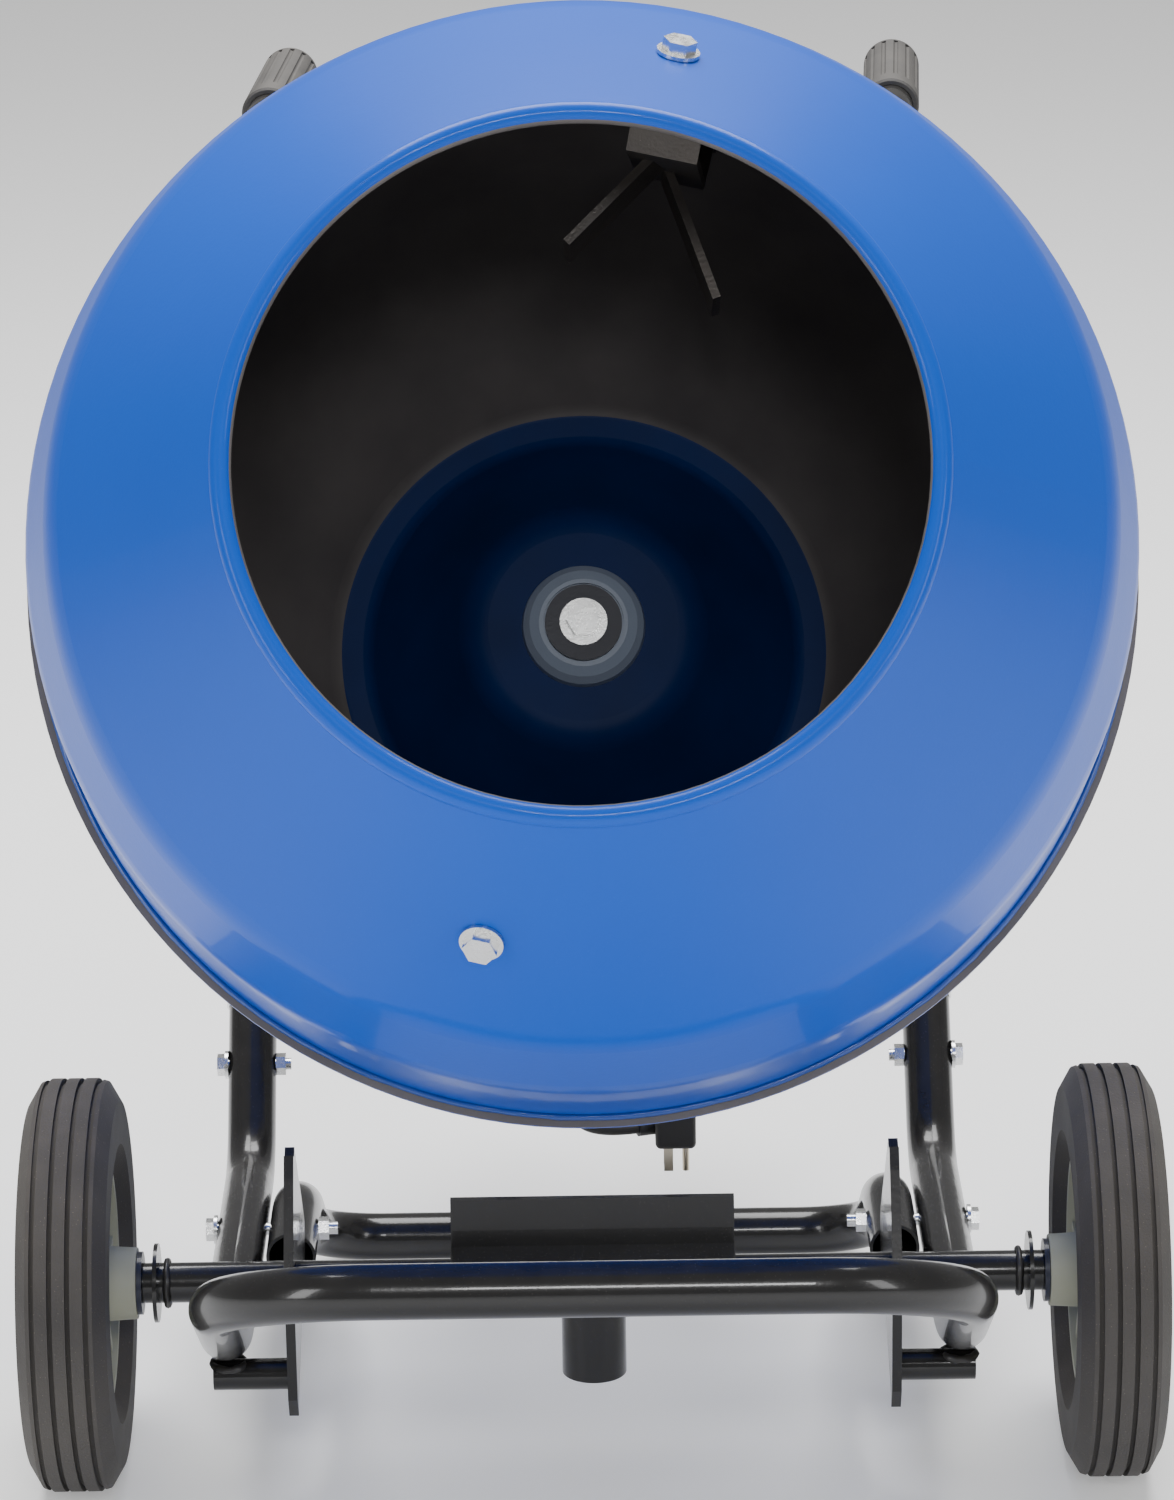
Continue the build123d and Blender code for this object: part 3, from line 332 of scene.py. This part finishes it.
# ---- modelling helpers --------------------------------------------------------------------------
def append(mesh: bmesh.types.BMesh, part: bmesh.types.BMesh) -> None:
    """Move one mesh's contents into another and free it."""
    carrier = bpy.data.meshes.new("carrier")
    part.to_mesh(carrier)
    part.free()
    mesh.from_mesh(carrier)
    bpy.data.meshes.remove(carrier)


def finish_piece(mesh: bmesh.types.BMesh, name: str, body: str, material: bpy.types.Material,
                 smooth_angle: float = 35.0) -> bpy.types.Object:
    """Turn a mesh into a piece that rides on a body.

    Args:
        mesh: the finished mesh; it is freed.
        name: the piece's name.
        body: the moving body it rides on.
        material: its material.
        smooth_angle: edges sharper than this many degrees stay sharp.

    Returns:
        The new object.
    """
    data = bpy.data.meshes.new(name)
    mesh.normal_update()
    for face in mesh.faces:
        face.smooth = True
    limit = math.radians(smooth_angle)
    for edge in mesh.edges:
        edge.smooth = len(edge.link_faces) == 2 and edge.calc_face_angle(0.0) < limit
    mesh.to_mesh(data)
    mesh.free()
    piece = bpy.data.objects.new(name, data)
    bpy.context.scene.collection.objects.link(piece)
    piece.data.materials.append(material)
    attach(piece, body)
    log.info("%s: %d faces", name, len(data.polygons))
    return piece


def frame_along(origin: Vector, z_axis: Vector, x_hint: Vector = Vector((1, 0, 0))) -> Matrix:
    """Return the placement whose local Z runs along z_axis and local X lies near x_hint."""
    z = z_axis.normalized()
    x = (x_hint - z * x_hint.dot(z)).normalized()
    y = z.cross(x)
    return Matrix(((x.x, y.x, z.x, origin.x), (x.y, y.y, z.y, origin.y), (x.z, y.z, z.z, origin.z),
                   (0, 0, 0, 1)))


def rough_ring(mesh: bmesh.types.BMesh, radius: float, thick: float, place: Matrix, waviness: float,
               steps: int = 220, sides: int = 10) -> None:
    """Add an uneven ring of weld or sealer round an axis.

    Args:
        mesh: the mesh that receives the ring.
        radius: the ring's radius, in metres.
        thick: the radius of its cord, in metres.
        place: the placement of its axis (local Z).
        waviness: how much the cord swells and thins, as a share of thick.
        steps: the number of parts round the ring.
        sides: the number of parts round the cord.
    """
    part = bmesh.new()
    bmesh.ops.create_circle(part, segments=sides, radius=thick,
                            matrix=Matrix.Translation((radius, 0, 0)) @ Matrix.Rotation(math.pi / 2, 4, "X"))
    bmesh.ops.spin(part, geom=part.verts[:] + part.edges[:], cent=(0, 0, 0), axis=(0, 0, 1),
                   angle=2 * math.pi, steps=steps, use_merge=True, use_duplicate=False)
    bmesh.ops.remove_doubles(part, verts=part.verts[:], dist=1e-6)
    bmesh.ops.recalc_face_normals(part, faces=part.faces[:])
    for vert in part.verts:
        around = Vector((vert.co.x, vert.co.y, 0)).normalized() * radius
        swell = noise.noise(vert.co * 90) * 0.6 + noise.noise(vert.co * 260) * 0.4
        vert.co = around + (vert.co - around) * (1 + waviness * swell)
    bmesh.ops.transform(part, matrix=place, verts=part.verts[:])
    append(mesh, part)



# ---- sub-assemblies -----------------------------------------------------------------------------
@dataclass
class Drum:
    """The drum's sealer, outside at the flange and inside at the seam, and the material of its sheets."""

    centre: Vector = field(default_factory=lambda: Vector((0.0, -0.24215, 0.563)))
    tilt: float = 28.0
    wall: float = 0.3265
    sheet: float = 0.0025
    dish: float = 0.1565
    sealer: float = 0.0022
    sealer_stand: float = 0.0012
    sealer_lift: float = 0.0008
    seam: float = 0.0014
    seam_sink: float = 0.0032

    def place(self, height: float = 0.0) -> Matrix:
        """Return the placement on the drum's axis at a height towards the mouth."""
        lean = math.radians(self.tilt)
        axis = Vector((0, -math.cos(lean), math.sin(lean)))
        return frame_along(self.centre + axis * height, axis)

    def material(self, groups: dict[str, bpy.types.NodeTree]) -> bpy.types.Material:
        """Make the sheets' material: blue outside, worn black inside the cone, dark blue in the dish.

        Args:
            groups: the shared node groups by name.

        Returns:
            The material for both sheet halves.
        """
        blue = FINISHES["drum_blue"].build(groups)
        tree = blue.node_tree
        shader = tree.nodes["Principled BSDF"]
        side = tree.nodes.new("ShaderNodeGroup")
        side.node_tree = groups["shell_side"]
        coordinates = tree.nodes.new("ShaderNodeTexCoord")
        tree.links.new(coordinates.outputs["Object"], side.inputs["Vector"])
        tree.links.new(coordinates.outputs["Normal"], side.inputs["Normal"])
        side.inputs["Centre"].default_value = self.place(0.03).translation
        side.inputs["Axis"].default_value = self.place().col[2].to_3d()
        side.inputs["Dish"].default_value = self.dish
        cloud = noise_node(tree, coordinates.outputs["Object"], 11.0, 5.0)
        wall = blend(tree, cloud, (0.06, 0.056, 0.062, 1), (0.2, 0.185, 0.18, 1))
        dish = blend(tree, cloud, (0.001, 0.035, 0.2, 1), (0.002, 0.014, 0.07, 1))
        inside = blend(tree, side.outputs["Dish"], wall, dish)
        base = shader.inputs["Base Color"].links[0].from_socket
        colour = blend(tree, side.outputs["Inside"], base, inside)
        tree.links.new(colour, shader.inputs["Base Color"])
        rough = shader.inputs["Roughness"].links[0].from_socket
        worn = math_node(tree, "MULTIPLY", side.outputs["Inside"], 0.1)
        tree.links.new(math_node(tree, "ADD", rough, worn), shader.inputs["Roughness"])
        bare = math_node(tree, "SUBTRACT", 1.0, side.outputs["Inside"])
        gloss = math_node(tree, "MULTIPLY", bare, FINISHES["drum_blue"].coat)
        tree.links.new(gloss, shader.inputs["Coat Weight"])
        return blue

    def build(self, finish: dict[str, bpy.types.Material]) -> None:
        """Build the sealer on both sides of the flange and along the inner seam."""
        mesh = bmesh.new()
        for height in (self.sheet + self.sealer_lift, -self.sheet - self.sealer_lift):
            rough_ring(mesh, self.wall + self.sealer_stand, self.sealer, self.place(height), 0.55)
        finish_piece(mesh, "flange_sealer", "drum", finish["drum_sealer"], 80)
        seam = bmesh.new()
        rough_ring(seam, self.wall - self.seam_sink, self.seam, self.place(0.0), 0.5)
        finish_piece(seam, "inner_seam_sealer", "drum", finish["drum_bottom"], 80)


@dataclass
class FrameWelds:
    """Uneven weld rings near the frame's stub, its pegs and its axle discs."""

    bead: float = 0.0026
    disc_offset: float = 0.008
    stand: float = 0.0012

    def build(self, finish: dict[str, bpy.types.Material]) -> None:
        """Build the rings from the boxes of the pieces that they lie by."""
        mesh = bmesh.new()
        up, across = Vector((0, 0, 1)), Vector((1, 0, 0))
        low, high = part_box("centre_stub")
        middle = (Vector(low) + Vector(high)) / 2
        top = Vector((middle.x, middle.y, high[2] - self.bead))
        rough_ring(mesh, (high[0] - low[0]) / 2, self.bead, frame_along(top, up), 0.5, 90, 8)
        low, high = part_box("rest_pegs")
        width = (high[1] - low[1]) / 2
        for sign in (-1, 1):
            x = (low[0] + width) if sign < 0 else (high[0] - width)
            top = Vector((x, (low[1] + high[1]) / 2, high[2] - self.bead))
            rough_ring(mesh, width, self.bead, frame_along(top, up), 0.5, 60, 8)
        low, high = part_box("axle_discs")
        tube_low, tube_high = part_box("axle_tube")
        root = (tube_high[2] - tube_low[2]) / 2
        middle = (Vector(low) + Vector(high)) / 2
        for sign in (-1, 1):
            at = Vector((sign * (high[0] - self.disc_offset), middle.y, middle.z))
            rough_ring(mesh, root + self.stand, self.bead * 0.8, frame_along(at, across, up), 0.5, 60, 8)
        finish_piece(mesh, "frame_welds", "frame", finish["weld_black"], 80)


@dataclass
class PowerLead:
    """The short flexible lead from the switch box to its plug."""

    diameter: float = 0.007
    length: float = 0.2107
    route: tuple = ((-0.018, 0.07575, 0.22748), (-0.018, 0.04992, 0.17892), (-0.024, 0.03185, 0.132),
                    (-0.016, 0.05585, 0.094), (0.005, 0.07385, 0.072), (0.032, 0.08485, 0.071))

    def build(self, finish: dict[str, bpy.types.Material], plug: list[bpy.types.Object]) -> None:
        """Args:
            finish: the materials by name.
            plug: the pieces that hang on its far end; not used.
        """
        curve = bpy.data.curves.new("lead_line", "CURVE")
        curve.dimensions = "3D"
        curve.bevel_depth = self.diameter / 2
        curve.bevel_resolution = 5
        curve.resolution_u = 24
        curve.use_fill_caps = True
        line = curve.splines.new("NURBS")
        line.points.add(len(self.route) - 1)
        for point, place in zip(line.points, self.route):
            point.co = (*place, 1.0)
        line.order_u = 3
        line.use_endpoint_u = True
        line.resolution_u = 24
        lead = bpy.data.objects.new("power_lead", curve)
        bpy.context.scene.collection.objects.link(lead)
        curve.materials.append(finish["cord_rubber"])
        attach(lead, "frame")
        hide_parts("power_cord")


@dataclass
class Studio:
    """The camera, the pale floor and the soft lights."""

    lens: float = 127.2
    place: Vector = field(default_factory=lambda: Vector((0.001, -3.3056, 1.4472)))
    pitch: float = 72.0
    roll: float = -0.85

    def camera(self) -> None:
        """Set the camera that the picture is taken from."""
        data = bpy.data.cameras.new("view")
        data.lens = self.lens
        data.sensor_width = 36.0
        data.clip_end = 50
        data.dof.use_dof = False
        view = bpy.data.objects.new("view", data)
        lift = Matrix.Rotation(math.radians(self.pitch), 4, "X")
        twist = Matrix.Rotation(math.radians(self.roll), 4, "Z")
        view.matrix_world = Matrix.Translation(self.place) @ lift @ twist
        bpy.context.scene.collection.objects.link(view)
        bpy.context.scene.camera = view

    def light(self, name: str, at: tuple, size: tuple[float, float], power: float) -> None:
        """Add a soft rectangular light that faces the mixer."""
        data = bpy.data.lights.new(name, "AREA")
        data.shape = "RECTANGLE"
        data.size, data.size_y = size
        data.energy = power
        lamp = bpy.data.objects.new(name, data)
        bpy.context.scene.collection.objects.link(lamp)
        aim = Vector((0, 0, 0.45)) - Vector(at)
        lamp.rotation_euler = aim.to_track_quat("-Z", "Y").to_euler()
        lamp.location = at

    def build(self, finish: dict[str, bpy.types.Material]) -> None:
        """Add the floor, the world and the lights."""
        mesh = bmesh.new()
        bmesh.ops.create_grid(mesh, x_segments=1, y_segments=1, size=12.0)
        data = bpy.data.meshes.new("floor")
        mesh.to_mesh(data)
        mesh.free()
        floor = bpy.data.objects.new("floor", data)
        bpy.context.scene.collection.objects.link(floor)
        data.materials.append(finish["floor"])
        glow = finish["floor"].node_tree.nodes["Principled BSDF"]
        glow.inputs["Emission Color"].default_value = (1.0, 1.0, 1.0, 1.0)
        glow.inputs["Emission Strength"].default_value = 0.3
        world = bpy.data.worlds.new("studio")
        world.use_nodes = True
        world.node_tree.nodes["Background"].inputs["Color"].default_value = (1.0, 1.0, 1.0, 1)
        world.node_tree.nodes["Background"].inputs["Strength"].default_value = 0.34
        bpy.context.scene.world = world
        self.light("overhead", (0.0, 0.9, 3.4), (2.8, 2.2), 240)
        self.light("left_panel", (-2.4, -2.6, 1.3), (0.7, 1.8), 34)
        self.light("right_panel", (2.4, -2.6, 1.5), (0.7, 1.8), 28)
        self.light("front_low", (0.2, -4.2, 2.6), (0.8, 0.5), 40)


# ---- the whole mixer ----------------------------------------------------------------------------
NODE_FINISH = {
    "frame_black": "front_hoop rear_hoop side_plates rest_pegs angle_plate centre_stub upper_riser_left "
                   "upper_riser_right drive_cradle axle_tube axle_discs handle_left handle_right "
                   "capacitor_saddle",
    "paddle_steel": "mixing_paddles",
    "zinc": "hoop_bolts riser_bolts riser_collars cradle_bolts paddle_bolts hub_bolt case_bolts "
            "split_pin_left split_pin_right hub_plate axle_rod",
    "hub_grey": "hub_boss",
    "hub_dark": "hub_washer hub_washers",
    "tyre": "tyre_left tyre_right",
    "rim_plastic": "rim_left rim_right",
    "grip_rubber": "grip_left grip_right",
    "cast_case": "gearbox_case gearbox_cover end_bell",
    "motor_paint": "motor_shell fan_cover",
    "steel": "output_shaft output_gear layshaft layshaft_gear shaft_bearings motor_bearings rotor stator",
    "black_plastic": "motor_fan capacitor switch_box switch_box_lid switch_bezel",
    "switch_red": "rocker_switch",
    "cord_rubber": "power_cord strain_relief power_plug",
    "plug_brass": "plug_pins",
}


def dress(piece: bpy.types.Object, material: bpy.types.Material) -> None:
    """Give a CAD node its material through its own object's slots."""
    for slot in piece.material_slots:
        slot.link = "OBJECT"
        slot.material = material


def main() -> None:
    """Load the frame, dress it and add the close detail."""
    logging.basicConfig(level=logging.INFO)
    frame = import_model()
    studio = Studio()
    studio.camera()
    groups = {"grain": grain_group(), "mottle": mottle_group(), "dust": dust_group(),
              "shell_side": shell_side_group()}
    finish = {name: item.build(groups) for name, item in FINISHES.items()}
    nodes = frame["nodes"]
    for name, members in NODE_FINISH.items():
        for member in members.split():
            dress(nodes[member], finish[name])
    drum = Drum()
    shell = drum.material(groups)
    for member in ("drum_cone", "drum_pan"):
        dress(nodes[member], shell)
    PowerLead().build(finish, [nodes[name] for name in ("power_plug", "plug_pins", "strain_relief")])
    drum.build(finish)
    FrameWelds().build(finish)
    studio.build(finish)


if __name__ == "__main__":
    main()
